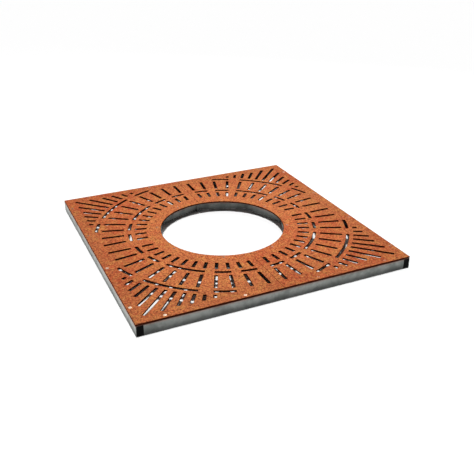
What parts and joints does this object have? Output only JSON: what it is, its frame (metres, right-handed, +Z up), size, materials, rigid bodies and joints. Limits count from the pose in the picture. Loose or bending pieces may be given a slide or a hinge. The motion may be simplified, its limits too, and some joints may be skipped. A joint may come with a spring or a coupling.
{
  "type": "tree grate",
  "caption": "Square weathering-steel tree grate with radial and arc slots around a round trunk opening, in two bolted halves on a galvanised tube frame.",
  "frame": {"origin": "on the trunk's axis, at the underside of the frame", "axes": "+Z up along the trunk's axis, X across the seam between the two halves, Y along the seam, the pictured long face towards -Y"},
  "size_m": [1.49, 1.49, 0.068],
  "materials": {
    "weathering_steel": "rough, stable rust patina",
    "galvanised_steel": "hot-dip galvanised, matt grey with faint patches",
    "stainless_steel": "turned, satin",
    "zinc_plated_steel": "zinc plated, satin",
    "black_plastic": "moulded polyethylene, satin"
  },
  "bodies": {
    "root": {"plate_left": "weathering_steel", "plate_right": "weathering_steel", "side_rail_left": "galvanised_steel", "side_rail_right": "galvanised_steel", "front_rail_left": "galvanised_steel", "front_rail_right": "galvanised_steel", "back_rail_left": "galvanised_steel", "back_rail_right": "galvanised_steel", "seam_bar_front_left": "galvanised_steel", "seam_bar_front_right": "galvanised_steel", "seam_bar_back_left": "galvanised_steel", "seam_bar_back_right": "galvanised_steel", "ring_left": "galvanised_steel", "ring_right": "galvanised_steel", "cross_rail_left": "galvanised_steel", "cross_rail_right": "galvanised_steel", "end_plug_front_left": "black_plastic", "end_plug_front_right": "black_plastic", "end_plug_back_left": "black_plastic", "end_plug_back_right": "black_plastic", "plate_screws_left": "stainless_steel", "plate_screws_right": "stainless_steel", "rivet_nuts_left": "zinc_plated_steel", "rivet_nuts_right": "zinc_plated_steel", "weld_beads_left": "galvanised_steel", "weld_beads_right": "galvanised_steel", "seam_bolts": "zinc_plated_steel", "seam_washers": "zinc_plated_steel", "seam_nuts": "zinc_plated_steel"}
  },
  "joints": []
}
